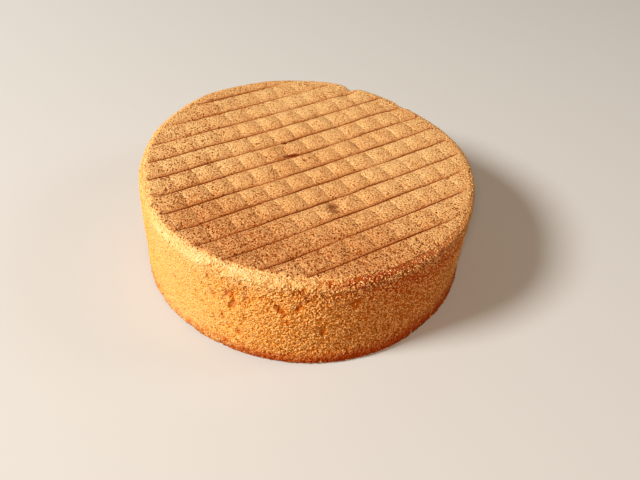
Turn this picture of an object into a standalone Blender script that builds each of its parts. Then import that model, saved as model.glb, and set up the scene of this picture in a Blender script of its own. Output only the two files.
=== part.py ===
"""A round sponge cake that has cooled upside down on a wire rack.

The cake is one solid: a low drum with a flat base, a slightly flared foot, a
nearly straight crumb side with a few hollows, a rounded rim that is chipped at
one place, and a crust whose top carries the print of the rack. The print is two
families of grooves that cross, with a low pillow in every cell between them.

Metres, +Z up. The origin is the centre of the base.
"""
import math

import bmesh
import bpy
from mathutils import Vector
from mathutils.geometry import delaunay_2d_cdt

MM = 0.001

# Overall sizes
CAKE_HEIGHT = 70.6 * MM
BODY_RADIUS = 114.8 * MM
FOOT_RADIUS = 116.9 * MM
RIM_RADIUS = 114.3 * MM

# Foot: rounded under, then drawn in to the body
FOOT_EDGE_RADIUS = 1.4 * MM
FOOT_WIDEST_AT = 2.2 * MM
FOOT_TOP = 15.0 * MM
FOOT_STEPS = 2

# Rim: rounding between the side and the crust
RIM_ROUNDING = 5.0 * MM
RIM_STEPS = 4
RIM_TAPER_FROM = 0.45 * CAKE_HEIGHT

# Crust: it sinks towards the middle and waves a little
CRUST_SAG = 0.9 * MM
CRUST_SAG_RADIUS = 0.9 * RIM_RADIUS
CRUST_LEVEL_RADIUS = 0.55 * RIM_RADIUS
CRUST_WAVE = 0.35 * MM
CRUST_WAVE_LENGTH = 95.0 * MM

# Print of the rack: the long wires lie deeper than the cross wires
LONG_ANGLE = math.radians(33.0)
LONG_PITCH = 17.38 * MM
LONG_OFFSET = -3.8 * MM
LONG_DEPTH = 1.5 * MM
CROSS_ANGLE = math.radians(124.5)
CROSS_PITCH = 16.45 * MM
CROSS_OFFSET = -8.7 * MM
CROSS_DEPTH = 0.8 * MM
GROOVE_HALF_WIDTH = 1.1 * MM
PILLOW_RISE = 1.0 * MM
PRINT_RADIUS = 106.0 * MM
PRINT_FADE = 7.0 * MM

# Swells (+) and losses (-) of the rim: direction, half width, outward amount, rise
RIM_FEATURES = (
    (137.0, 13.0, 2.2 * MM, 0.0 * MM),
    (158.0, 18.0, 1.5 * MM, 0.0 * MM),
    (13.0, 13.0, 1.6 * MM, 0.0 * MM),
    (52.0, 24.0, -1.9 * MM, -0.5 * MM),
    (74.0, 2.6, -2.6 * MM, -1.6 * MM),
    (50.5, 2.6, -1.2 * MM, -0.8 * MM),
    (256.0, 16.0, -1.2 * MM, -0.2 * MM),
    (303.0, 18.0, -0.8 * MM, -0.2 * MM),
)

# Places where the foot spreads less: direction, half width, amount
FOOT_LOSSES = (
    (199.0, 10.0, 1.3 * MM),
    (317.0, 9.0, 1.0 * MM),
)

# Slow waves of the side: turns of the wave around the cake, amount, phase, slope
SIDE_WAVES = (
    (3, 0.30 * MM, 0.4, 25.0),
    (7, 0.22 * MM, 2.1, -40.0),
    (13, 0.16 * MM, 4.0, 70.0),
)

# Hollows of the crumb side: direction, height, half width, half height, depth
SIDE_HOLLOWS = (
    (248.0, 53.5 * MM, 3.2 * MM, 3.4 * MM, 1.6 * MM),
    (249.6, 46.0 * MM, 2.4 * MM, 4.2 * MM, 1.4 * MM),
    (264.2, 51.5 * MM, 3.0 * MM, 6.6 * MM, 1.8 * MM),
    (269.4, 55.0 * MM, 2.6 * MM, 5.0 * MM, 1.2 * MM),
    (277.0, 31.0 * MM, 2.6 * MM, 4.6 * MM, 1.2 * MM),
    (287.0, 52.5 * MM, 3.6 * MM, 3.6 * MM, 1.0 * MM),
    (243.0, 48.0 * MM, 2.6 * MM, 3.2 * MM, 1.0 * MM),
    (226.5, 39.0 * MM, 2.4 * MM, 2.6 * MM, 0.9 * MM),
)

# Dents of the crust: x, y, half width, depth
CRUST_DENTS = (
    (17.0 * MM, -44.5 * MM, 6.0 * MM, 1.5 * MM),
    (-18.6 * MM, 22.5 * MM, 4.2 * MM, 1.3 * MM),
    (-11.5 * MM, 8.0 * MM, 5.2 * MM, 1.3 * MM),
    (2.5 * MM, 62.5 * MM, 4.4 * MM, 1.1 * MM),
    (31.5 * MM, 27.5 * MM, 4.6 * MM, 1.1 * MM),
    (-68.0 * MM, -61.0 * MM, 6.0 * MM, 0.8 * MM),
)

# Fineness of the mesh: columns and rows of the side, and lines of the crust as
# parts of the pitch, close to each groove and wide apart over the pillows
COLUMNS = 128
SIDE_ROWS = 9
LONG_STATIONS = (0.0, 0.075, 0.29, 0.5, 0.71, 0.925)
CROSS_STATIONS = (0.0, 0.08, 0.5, 0.92)
CLEAR_OF_RIM = 1.2 * MM
SAME_PLACE = 1e-7
SHARP_ANGLE = math.radians(35.0)

# Points around each hollow: rings and reach as parts of its half sizes
HOLLOW_POINTS = 8
HOLLOW_RINGS = (0.65, 1.35)
HOLLOW_REACH = 1.8

CRUST_COLOUR = (0.50, 0.235, 0.085, 1.0)
CRUST_ROUGHNESS = 0.85


def bell(distance, half_width):
    """A smooth hump: 1 at zero distance, and 0.37 at one half width."""
    return math.exp(-(distance / half_width) ** 2)


def smooth_step(start, end, value):
    """0 before start, 1 after end, and an S curve between them."""
    t = min(max((value - start) / (end - start), 0.0), 1.0)
    return t * t * (3.0 - 2.0 * t)


def degrees_between(angle, direction):
    """The shorter way round, in degrees, from a direction to an angle in radians."""
    return (math.degrees(angle) - direction + 180.0) % 360.0 - 180.0


def rim_radius(angle):
    """Outermost radius of the rim, seen from above."""
    radius = RIM_RADIUS
    for direction, half_width, outward, _ in RIM_FEATURES:
        radius += outward * bell(degrees_between(angle, direction), half_width)
    return radius


def rim_height(angle):
    """Height of the rim, where the rounding meets the crust."""
    height = CAKE_HEIGHT
    for direction, half_width, _, rise in RIM_FEATURES:
        height += rise * bell(degrees_between(angle, direction), half_width)
    return height


def foot_radius(angle):
    """Widest radius of the foot."""
    radius = FOOT_RADIUS
    for direction, half_width, amount in FOOT_LOSSES:
        radius -= amount * bell(degrees_between(angle, direction), half_width)
    return radius


def side_radius(angle, height):
    """Radius of the crumb side, from the widest part of the foot to the rim's rounding."""
    fade = smooth_step(FOOT_WIDEST_AT, FOOT_TOP, height)
    to_rim = smooth_step(RIM_TAPER_FROM, CAKE_HEIGHT - RIM_ROUNDING, height)
    radius = foot_radius(angle) + (BODY_RADIUS - foot_radius(angle)) * fade
    radius += (rim_radius(angle) - BODY_RADIUS) * to_rim
    for turns, amount, phase, slope in SIDE_WAVES:
        radius += fade * amount * math.sin(turns * angle + phase + slope * height)
    for direction, level, half_width, half_height, depth in SIDE_HOLLOWS:
        around = math.radians(degrees_between(angle, direction)) * BODY_RADIUS
        radius -= depth * bell(math.hypot(around / half_width, (height - level) / half_height), 1.0)
    return radius


def across(x, y, angle):
    """Distance of a point from the line through the origin at this angle."""
    return -math.sin(angle) * x + math.cos(angle) * y


def phase_of(distance, pitch, offset):
    """Place between two grooves: 0 and 1 are grooves, 0.5 is midway."""
    return ((distance - offset) / pitch) % 1.0


def groove(phase, pitch, depth):
    """Depth of a groove with sloping walls."""
    off_line = min(phase, 1.0 - phase) * pitch
    return depth * max(0.0, 1.0 - off_line / GROOVE_HALF_WIDTH)


def crust_height(x, y):
    """Height of the crust inside the rim."""
    radius = math.hypot(x, y)
    angle = math.atan2(y, x)
    edge = smooth_step(CRUST_LEVEL_RADIUS, RIM_RADIUS - RIM_ROUNDING, radius)
    height = CAKE_HEIGHT + (rim_height(angle) - CAKE_HEIGHT) * edge
    height -= CRUST_SAG * (1.0 - smooth_step(0.0, CRUST_SAG_RADIUS, radius))
    turn = math.tau / CRUST_WAVE_LENGTH
    wave = math.sin(turn * x) * math.cos(turn * y)
    printed = 1.0 - smooth_step(PRINT_RADIUS - PRINT_FADE, PRINT_RADIUS, radius)
    height += CRUST_WAVE * (wave - 1.0) * (1.0 - edge)
    long_phase = phase_of(across(x, y, LONG_ANGLE), LONG_PITCH, LONG_OFFSET)
    cross_phase = phase_of(across(x, y, CROSS_ANGLE), CROSS_PITCH, CROSS_OFFSET)
    pillow = math.sin(math.pi * long_phase) * math.sin(math.pi * cross_phase)
    height -= printed * PILLOW_RISE * (1.0 - pillow)
    height -= printed * groove(long_phase, LONG_PITCH, LONG_DEPTH)
    height -= printed * groove(cross_phase, CROSS_PITCH, CROSS_DEPTH)
    for dent_x, dent_y, half_width, depth in CRUST_DENTS:
        height -= depth * bell(math.hypot(x - dent_x, y - dent_y), half_width)
    return height


def column_angle(column):
    """Direction of one column of the side."""
    return math.tau * column / COLUMNS


def foot_point(column, step):
    """A point of the foot's rounding: step 0 is on the base, the last is at the widest place."""
    angle = column_angle(column)
    turn = 0.5 * math.pi * step / FOOT_STEPS
    radius = foot_radius(angle) - FOOT_EDGE_RADIUS * (1.0 - math.sin(turn))
    height = FOOT_WIDEST_AT * (1.0 - math.cos(turn))
    return (radius * math.cos(angle), radius * math.sin(angle), height)


def rim_point(column, step):
    """A point of the rim's rounding: step 0 is on the side, the last is on the crust."""
    angle = column_angle(column)
    turn = 0.5 * math.pi * step / RIM_STEPS
    level = rim_height(angle) - RIM_ROUNDING
    outer = side_radius(angle, level)
    radius = outer - RIM_ROUNDING + RIM_ROUNDING * math.cos(turn)
    height = level + RIM_ROUNDING * math.sin(turn)
    return (radius * math.cos(angle), radius * math.sin(angle), height)


def ellipse(centre, half_sizes, scale):
    """Points of an ellipse around a hollow."""
    turns = [math.tau * k / HOLLOW_POINTS for k in range(HOLLOW_POINTS)]
    return [(centre[0] + scale * half_sizes[0] * math.cos(t),
             centre[1] + scale * half_sizes[1] * math.sin(t)) for t in turns]


def refine(points, hollows):
    """Swap the points in each hollow for its middle and two ellipses around it."""
    for (across_at, up_at), (half_width, half_height) in hollows:
        points = [(a, b) for a, b in points
                  if math.hypot((a - across_at) / half_width, (b - up_at) / half_height) > HOLLOW_REACH]
        points.append((across_at, up_at))
        for scale in HOLLOW_RINGS:
            points += ellipse((across_at, up_at), (half_width, half_height), scale)
    return points


def crust_edge(angle):
    """Radius where the rounding ends and the crust starts."""
    return side_radius(angle, rim_height(angle) - RIM_ROUNDING) - RIM_ROUNDING


def lattice_points():
    """Points of the crust, on lines that follow the grooves."""
    long_way = Vector((-math.sin(LONG_ANGLE), math.cos(LONG_ANGLE)))
    cross_way = Vector((-math.sin(CROSS_ANGLE), math.cos(CROSS_ANGLE)))
    spread = long_way.x * cross_way.y - long_way.y * cross_way.x
    reach = math.ceil(RIM_RADIUS / min(LONG_PITCH, CROSS_PITCH)) + 1
    long_lines = [LONG_OFFSET + (k + s) * LONG_PITCH for k in range(-reach, reach) for s in LONG_STATIONS]
    cross_lines = [CROSS_OFFSET + (k + s) * CROSS_PITCH for k in range(-reach, reach) for s in CROSS_STATIONS]
    points = []
    for a in long_lines:
        for b in cross_lines:
            x = (a * cross_way.y - b * long_way.y) / spread
            y = (b * long_way.x - a * cross_way.x) / spread
            if math.hypot(x, y) < crust_edge(math.atan2(y, x)) - CLEAR_OF_RIM:
                points.append((x, y))
    return points


def add_ring(work, place, step):
    """Vertices of one ring around the cake."""
    return [work.verts.new(place(column, step)) for column in range(COLUMNS)]


def bridge(work, lower, upper):
    """Faces between two rings."""
    for k in range(COLUMNS):
        after = (k + 1) % COLUMNS
        work.faces.new((lower[k], lower[after], upper[after], upper[k]))


def fill(work, edge, outline, inner, place):
    """Triangles from a closed edge to the points inside it.

    outline holds the flat place of each vertex of the edge, inner holds the flat
    places of the points inside, and place gives the height or side point of each.
    """
    corners = edge + [work.verts.new(place(a, b)) for a, b in inner]
    flat = [Vector(p) for p in outline + inner]
    count = len(outline)
    edges = [(k, (k + 1) % count) for k in range(count)]
    found, _, faces, sources, _, _ = delaunay_2d_cdt(flat, edges, [], 1, SAME_PLACE)
    if len(found) != len(flat):
        raise ValueError("points of the outline and its inside coincide")
    for face in faces:
        work.faces.new([corners[sources[k][0]] for k in face])


def add_side(work, foot_ring, rim_ring):
    """Crumb side, laid out flat between the foot and the rim and cut open at one seam."""
    length = math.tau * BODY_RADIUS
    low = FOOT_WIDEST_AT
    step = (CAKE_HEIGHT - RIM_ROUNDING - low) / (SIDE_ROWS + 1)
    levels = [low + (k + 1) * step for k in range(SIDE_ROWS)]
    forward = range(COLUMNS + 1)
    back = range(COLUMNS, -1, -1)

    def side_point(around, height):
        angle = around / BODY_RADIUS
        radius = side_radius(angle, height)
        return (radius * math.cos(angle), radius * math.sin(angle), height)

    seam = [work.verts.new(side_point(0.0, height)) for height in levels]
    edge = [foot_ring[c % COLUMNS] for c in forward] + seam
    edge += [rim_ring[c % COLUMNS] for c in back] + seam[::-1]
    outline = [(length * c / COLUMNS, low) for c in forward] + [(length, height) for height in levels]
    outline += [(length * c / COLUMNS, rim_ring[c % COLUMNS].co.z) for c in back]
    outline += [(0.0, height) for height in levels[::-1]]
    hollows = [((math.radians(direction) * BODY_RADIUS, height), (half_width, half_height))
               for direction, height, half_width, half_height, _ in SIDE_HOLLOWS]
    inner = refine([(length * c / COLUMNS, z) for c in range(1, COLUMNS) for z in levels], hollows)
    fill(work, edge, outline, inner, side_point)


def add_crust(work, rim_ring):
    """Crust with the rack's print, between the lattice of grooves and the rim."""
    outline = [tuple(corner.co.xy) for corner in rim_ring]
    fill(work, rim_ring, outline, lattice_points(), lambda x, y: (x, y, crust_height(x, y)))


def clear_scene():
    """Remove the objects that are there."""
    for old in list(bpy.data.objects):
        bpy.data.objects.remove(old, do_unlink=True)


def crust_material():
    """Baked sponge: matt and golden brown."""
    material = bpy.data.materials.new("baked_sponge")
    material.use_nodes = True
    surface = material.node_tree.nodes["Principled BSDF"]
    surface.inputs["Base Color"].default_value = CRUST_COLOUR
    surface.inputs["Roughness"].default_value = CRUST_ROUGHNESS
    surface.inputs["Metallic"].default_value = 0.0
    return material


def build_cake():
    """The cake as one named object: base, foot, side, rim and crust in one closed shell."""
    work = bmesh.new()
    foot = [add_ring(work, foot_point, step) for step in range(FOOT_STEPS + 1)]
    rim = [add_ring(work, rim_point, step) for step in range(RIM_STEPS + 1)]
    work.faces.new(foot[0][::-1])
    for rings in (foot, rim):
        for lower, upper in zip(rings, rings[1:]):
            bridge(work, lower, upper)
    add_side(work, foot[-1], rim[0])
    add_crust(work, rim[-1])
    bmesh.ops.recalc_face_normals(work, faces=work.faces)
    bmesh.ops.triangulate(work, faces=[face for face in work.faces if len(face.verts) > 3])

    mesh = bpy.data.meshes.new("sponge_cake")
    work.to_mesh(mesh)
    work.free()
    mesh.shade_smooth()
    mesh.set_sharp_from_angle(angle=SHARP_ANGLE)
    mesh.materials.append(crust_material())
    cake = bpy.data.objects.new("sponge_cake", mesh)
    bpy.context.scene.collection.objects.link(cake)
    return cake


def main():
    """Clear the scene and build the cake."""
    clear_scene()
    build_cake()


main()
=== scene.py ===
import math

import bpy
import numpy as np
from bpy.props import FloatProperty, FloatVectorProperty, IntProperty, PointerProperty
from bpy.types import Operator, Panel, PropertyGroup
from mathutils import Matrix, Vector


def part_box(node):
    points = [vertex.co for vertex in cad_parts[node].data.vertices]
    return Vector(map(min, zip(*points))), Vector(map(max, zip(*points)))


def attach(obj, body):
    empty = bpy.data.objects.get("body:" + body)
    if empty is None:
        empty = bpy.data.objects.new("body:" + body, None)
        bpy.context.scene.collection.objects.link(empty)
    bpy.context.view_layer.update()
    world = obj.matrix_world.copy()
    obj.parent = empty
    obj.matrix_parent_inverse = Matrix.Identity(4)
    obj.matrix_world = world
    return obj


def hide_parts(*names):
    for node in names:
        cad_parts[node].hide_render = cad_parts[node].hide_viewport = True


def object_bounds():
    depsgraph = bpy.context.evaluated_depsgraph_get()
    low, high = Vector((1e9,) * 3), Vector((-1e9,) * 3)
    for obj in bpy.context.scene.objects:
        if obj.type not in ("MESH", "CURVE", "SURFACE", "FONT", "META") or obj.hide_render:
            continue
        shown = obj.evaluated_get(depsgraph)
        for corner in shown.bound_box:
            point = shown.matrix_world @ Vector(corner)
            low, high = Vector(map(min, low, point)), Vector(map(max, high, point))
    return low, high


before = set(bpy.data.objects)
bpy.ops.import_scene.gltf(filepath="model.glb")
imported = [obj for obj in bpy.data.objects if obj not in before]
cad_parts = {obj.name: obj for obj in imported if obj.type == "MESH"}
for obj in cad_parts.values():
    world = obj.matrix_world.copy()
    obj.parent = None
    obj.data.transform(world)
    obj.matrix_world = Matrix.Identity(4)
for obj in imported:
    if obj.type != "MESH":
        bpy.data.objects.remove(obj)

bl_info = {
    "name": "Sponge Cake Builder",
    "version": (1, 0, 0),
    "blender": (4, 5, 0),
    "location": "View3D > Sidebar > Sponge Cake",
    "description": "Dresses the packed cake: printed crust, open crumb, loose crumbs and a stage",
    "category": "Add Mesh",
}

CAD_BOX = [list(map(float, corner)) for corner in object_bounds()]
CAKE_LOW, CAKE_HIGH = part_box("sponge_cake")
MM = 0.001

# Gaps that keep each piece inside the box: under its top, over its bottom, around the foot
CRUST_GAP, CRUMB_GAP, LOOSE_GAP, BASE_GAP = 0.02 * MM, 0.04 * MM, 0.03 * MM, 0.02 * MM
FOOT_SPREAD = 0.36 * MM
FLOOR_GAP = 0.2 * MM

# Place that the lights look at
AIM = (0.0, 0.0, 30 * MM)

# Width of the rings that carry the crust over the rim
RING_BAND = 5 * MM


def in_metres(units, rows):
    """The rows of a table, each value times the unit of its column."""
    return [[value * unit for value, unit in zip(row, units)] for row in rows]


# Swells (+) and losses (-) of the rim: direction in degrees, half width in degrees, outward, rise
RIM_FEATURES = in_metres((1, 1, MM, MM), (
    (137, 13, 2.2, 0),
    (158, 18, 1.5, 0),
    (13, 13, 1.6, 0),
    (52, 24, -1.9, -0.5),
    (74, 2.6, -2.6, -1.6),
    (50.5, 2.6, -1.2, -0.8),
    (256, 16, -1.2, -0.2),
    (303, 18, -0.8, -0.2),
))

# Places where the foot spreads less: direction, half width, amount
FOOT_LOSSES = in_metres((1, 1, MM), (
    (199, 10, 1.3),
    (317, 9, 1),
))

# Slow waves of the side: turns around the cake, amount, phase, slope with height
SIDE_WAVES = in_metres((1, MM, 1, 1), (
    (3, 0.30, 0.4, 25),
    (7, 0.22, 2.1, -40),
    (13, 0.16, 4, 70),
))

# Hollows of the crumb side: direction, height, half width, half height, lean in degrees, depth
SIDE_HOLLOWS = in_metres((1, MM, MM, MM, 1, MM), (
    (248, 50.4, 3.1, 3.2, 0, 1.80),
    (249.7, 43.8, 2.1, 4.2, -10, 1.50),
    (243, 45.6, 2, 2.9, 0, 1.10),
    (253.6, 53.2, 1.6, 3.2, 0, 1.20),
    (245.9, 28.9, 1.2, 2.9, 5, 0.76),
    (242.5, 25.4, 1.1, 2.3, 8, 0.68),
    (251.3, 19.9, 1.3, 2.2, 0, 0.68),
    (264.2, 47.9, 1.9, 6.6, 31, 1.67),
    (269.6, 50.2, 1.9, 4.5, -18, 1.30),
    (266.7, 37.4, 1, 3.4, 12, 0.76),
    (277.4, 29.9, 1.7, 3.7, 0, 1.09),
    (271.8, 60, 1.5, 3.4, 0, 0.90),
    (252.2, 63.8, 1.7, 1.5, 0, 0.84),
    (286.2, 52.6, 3.9, 4.4, 0, 0.76),
    (226.5, 37.4, 1.3, 1.7, 0, 0.76),
    (235.9, 39.4, 1, 1.3, 0, 0.68),
    (292, 61.4, 3.2, 2.1, 0, 1.00),
    (300, 63, 3.7, 1.5, 0, 0.84),
    (281, 63.2, 2.4, 1.8, 0, 1.09),
))

# Dents of the crust: x, y, half width, depth, browning
CRUST_DENTS = in_metres((MM, MM, MM, MM, 1), (
    (16.4, -42.4, 4.4, 1.2, 1.08),
    (18.6, -46.6, 4.2, 0.8, 0.84),
    (2.6, 62, 3.4, 0.7, 0.85),
    (32.6, 27.6, 4, 0.6, 0.60),
    (-66, -61.5, 8.5, 0.4, 0.30),
    (-3.2, 4.6, 1.3, 1.1, 1.5),
    (-18.4, 23.8, 1.6, 1, 1.2),
    (-17, 8, 1.4, 0.9, 1.2),
    (-90.3, -38.7, 1.1, 0.8, 1.4),
    (-90.8, -50.7, 1.1, 0.7, 1.3),
    (-74.4, -70.6, 1, 0.7, 1.3),
    (-48.5, -93.9, 0.9, 0.6, 1.3),
    (-40.9, -96.5, 0.9, 0.6, 1.3),
    (-10.3, -101.5, 1.1, 0.7, 1.2),
    (54.2, -81.9, 1.1, 0.8, 1.5),
    (69.1, -69.8, 1, 0.7, 1.3),
    (87.2, -55.6, 1, 0.7, 1.3),
))

# Scars where the crust tore away with a wire:
# x, y, direction, half length, half width, depth, redness
CRUST_SCARS = in_metres((MM, MM, 1, MM, MM, MM, 1), (
    (-14, 26.8, 35, 5, 0.8, 0.7, 0.6),
    (-18.2, 24, 30, 1.8, 1.3, 0.7, 1),
    (-12.2, 9.9, 24, 5.4, 1.3, 1, 0.95),
    (-36.4, 20, 35, 2.4, 0.9, 0.5, 0.6),
    (17.9, 48.6, 30, 3, 0.9, 0.4, 0.5),
    (29, 15.6, 35, 3.4, 0.9, 0.4, 0.5),
))

# Patches baked darker (+) or paler (-): x, y, half width, strength
BAKED_PATCHES = in_metres((MM, MM, MM, 1), (
    (-66, -60, 20, 0.50),
    (-88, 10, 36, -0.58),
    (-30, -86, 34, 0.97),
    (34, -84, 34, 0.93),
    (20, -26, 14, 0.34),
    (-10, 0, 30, 0.26),
    (-20, 14, 13, 0.40),
    (0, 92, 50, -0.94),
    (84, 8, 36, -0.45),
    (-11, -104, 11, -0.60),
))


# ---- settings

def length(name, description, millimetres, least=0.0):
    """A length, given in millimetres and kept in metres."""
    return FloatProperty(name=name, description=description, default=millimetres * MM, min=least,
                         unit="LENGTH", precision=5)


def degrees(name, description, value):
    """An angle, given in degrees and kept in radians."""
    return FloatProperty(name=name, description=description, default=math.radians(value),
                         subtype="ANGLE")


def factor(name, description, value):
    """A plain factor."""
    return FloatProperty(name=name, description=description, default=value, min=0.0)


def paint(name, description, value):
    """A linear colour."""
    return FloatVectorProperty(name=name, description=description, default=value, size=3,
                               subtype="COLOR", min=0.0, max=1.0)


def vector(name, description, value, subtype):
    """A place or a direction."""
    return FloatVectorProperty(name=name, description=description, default=value, size=3,
                               subtype=subtype, precision=5)


def light_settings(key, words, power, width, tint, azimuth, elevation):
    """The five settings of one light."""
    title = key.capitalize()
    return {
        key + "_power": factor(title + " power", f"Power of the {words} in watts", power),
        key + "_size": length(title + " size", f"Width of the {words}", width),
        key + "_colour": paint(title + " colour", f"Colour of the {words}", tint),
        key + "_azimuth": degrees(title + " azimuth", f"Direction of the {words}", azimuth),
        key + "_elevation": degrees(title + " elevation", f"Height of the {words}", elevation),
    }


class CakeShape(PropertyGroup):
    """Body of the cake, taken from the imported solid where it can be."""
    height: length("Height", "Height of the rim over the base", float(CAKE_HIGH[2]) / MM)
    foot_radius: length("Foot radius", "Widest radius, just over the base",
                        float(CAKE_HIGH[0] - CAKE_LOW[0]) / (2 * MM) - 0.45)
    body_radius: length("Body radius", "Radius of the side at half height", 114.8)
    rim_radius: length("Rim radius", "Radius of the side under the rim", 114.3)
    foot_edge: length("Foot edge", "Rounding under the foot", 1.4)
    foot_widest: length("Foot widest at", "Height where the foot is widest", 2.2)
    foot_top: length("Foot top", "Height where the foot has drawn in to the body", 15.0)
    rounding: length("Rim rounding", "Radius of the rim's rounded corner", 5.0)
    taper_from: length("Taper from", "Height where the side starts to follow the rim", 31.8)
    sag: length("Sag", "How far the crust sinks at the middle", 0.9)
    headroom: length("Headroom", "How far the crust's mean face stays below the top of the box",
                     0.55)


class PrintShape(PropertyGroup):
    """Print of the cooling rack in the crust."""
    long_angle: degrees("Long angle", "Direction of the deep grooves", 33.0)
    long_pitch: length("Long pitch", "Distance between deep grooves", 17.38)
    long_offset: length("Long offset", "First deep groove from the middle", -3.8, least=-1.0)
    long_depth: length("Long depth", "Depth of the deep grooves", 0.80)
    long_rise: length("Long rise", "How far a row swells between two deep grooves", 1.05)
    cross_angle: degrees("Cross angle", "Direction of the cross creases", 124.5)
    cross_pitch: length("Cross pitch", "Distance between cross creases", 16.45)
    cross_offset: length("Cross offset", "First cross crease from the middle", -8.7, least=-1.0)
    cross_depth: length("Cross depth", "Extra depth of the cross creases", 0.12)
    cross_rise: length("Cross rise", "How far a cell swells between two cross creases", 0.86)
    groove_width: length("Groove width", "Half width of a groove", 0.46)
    arch_power: factor("Arch power", "2 is a round arch, and more is a flatter top", 2.1)
    stray: length("Stray", "How far a groove strays from its line", 0.42)
    bow: length("Bow", "How far a cross crease bows between two deep grooves", 0.7)
    reach: length("Reach", "Radius where the print ends", 109.0)
    fade: length("Fade", "Width over which the print fades out", 5.0)
    fine_step: length("Fine step", "Spacing of the mesh next to a groove", 0.29)
    coarse_step: length("Coarse step", "Spacing of the mesh over a cell", 0.80)
    fine_zone: length("Fine zone", "Half width of the finely meshed strip at a groove", 1.0)


class CrumbShape(PropertyGroup):
    """Grain and pores of the open crumb."""
    columns: IntProperty(name="Columns", description="Mesh columns around the side", default=1440,
                         min=48)
    row_step: length("Row step", "Spacing of the mesh rows up the side", 0.54)
    rim_step: length("Rim step", "Spacing of the mesh rows over the rim", 0.46)
    base_top: length("Base top", "Height where the base piece meets the side piece", 12.0)
    side_middle: length("Side middle", "Height where the two side pieces meet", 34.0)
    side_top: length("Side top", "Height where the side piece meets the rim piece", 57.0)
    wall: length("Wall", "Thickness of the side and rim pieces", 6.0)
    grain: length("Grain", "Size of the large grains", 1.75)
    fine_grain: length("Fine grain", "Size of the small grains", 1.05)
    grain_relief: length("Grain relief", "How far the large grains stand out", 0.60)
    fine_relief: length("Fine relief", "How far the small grains stand out", 0.74)
    lump: length("Lump", "Size of the slow lumps", 12.0)
    lump_relief: length("Lump relief", "How far the lumps stand out", 0.35)
    bubble: length("Bubble spacing", "Spacing of the small open bubbles", 1.6)
    bubble_depth: length("Bubble depth", "Depth of the small open bubbles", 0.40)
    pore: length("Pore spacing", "Spacing of the open pores", 5.2)
    pore_depth: length("Pore depth", "Depth of the open pores", 0.9)
    tear_depth: length("Tear depth", "Depth of the torn places under the rim", 0.8)
    recess: length("Recess", "How far the side sits back under the rim at the front right", 1.0)
    clump: length("Clump", "Size of the clumps on the torn rim", 3.8)
    clump_relief: length("Clump relief", "How far the clumps stand out", 0.85)
    crumbs: IntProperty(name="Loose crumbs", description="Crumbs that cling to the rim and side",
                        default=1750, min=0)
    crumb_size: length("Crumb size", "Mean radius of a loose crumb", 0.32)


class CakeColours(PropertyGroup):
    """Colours of the baked sponge, and of the light and shade painted onto it."""
    # The light crust also paints the highlight on the part of each cell that faces the light.
    crust_light_and_highlight: paint("Light crust", "Crust on the top of a cell", (0.59, 0.380, 0.156))
    crust_tip: paint("Crust tips", "Raised specks of the crust", (0.70, 0.438, 0.190))
    crust: paint("Crust", "Most of the crust", (0.49, 0.230, 0.074))
    # Baked crust, which also paints the shade on the near slope of each row and down the walls of
    # the grooves.
    baked_crust_and_shade: paint("Baked crust", "Crust that is baked darker", (0.31, 0.080, 0.010))
    crust_dark: paint("Dark crust", "Bottom of the deep grooves", (0.105, 0.013, 0.0005))
    # Painted shade: the corner of each cell that faces away from the light.
    crust_corner_shade: paint("Crust corner", "Far corner of a cell", (0.37, 0.150, 0.046))
    pit: paint("Pit", "Bottom of pinholes and burnt spots", (0.100, 0.012, 0.0005))
    scar: paint("Scar", "Reddish crust in a scar", (0.135, 0.016, 0.0015))
    cream: paint("Cream", "Rubbed crumb along the rim", (0.72, 0.425, 0.155))
    # Palest crumb: the worn rim, and the painted light of the left side, which faces the light.
    rubbed: paint("Rubbed crumb", "Palest crumb, on the left of the rim", (0.86, 0.61, 0.31))
    crumb: paint("Crumb", "Most of the side", (0.80, 0.372, 0.080))
    # Tips of the grains: paler crumb with a painted highlight where the grains stand out.
    crumb_light_and_highlight: paint("Light crumb", "Tips of the grains", (0.90, 0.50, 0.200))
    # Tips of the grains on the right side, toned down by the painted shade there.
    crumb_tan: paint("Tan crumb", "Tips of the browned grains", (0.78, 0.310, 0.098))
    # Deep crumb: the crumb's orange blotches and specks, and the painted shade in its pores and
    # between its grains.
    deep_crumb_and_shade: paint("Deep crumb", "Inside of the pores", (0.42, 0.116, 0.006))
    # Painted shade inside the large hollows.
    hollow: paint("Hollow", "Inside of the large hollows", (0.46, 0.098, 0.003))
    # Painted shade: the crumb of the right side and the gaps of the torn rim, coloured darker and
    # redder.
    shaded_crumb_brown: paint("Brown crumb", "Browned crumb and its pores", (0.38, 0.050, 0.001))
    crumb_pink: paint("Pink crumb", "Bits on the crumb under the crust's edge", (0.85, 0.42, 0.19))
    crumb_shade: paint("Shaded crumb", "Torn crumb under the crust's edge", (0.24, 0.034, 0.0015))
    foot: paint("Foot", "Browned edge above the base", (0.32, 0.036, 0.002))


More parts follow.
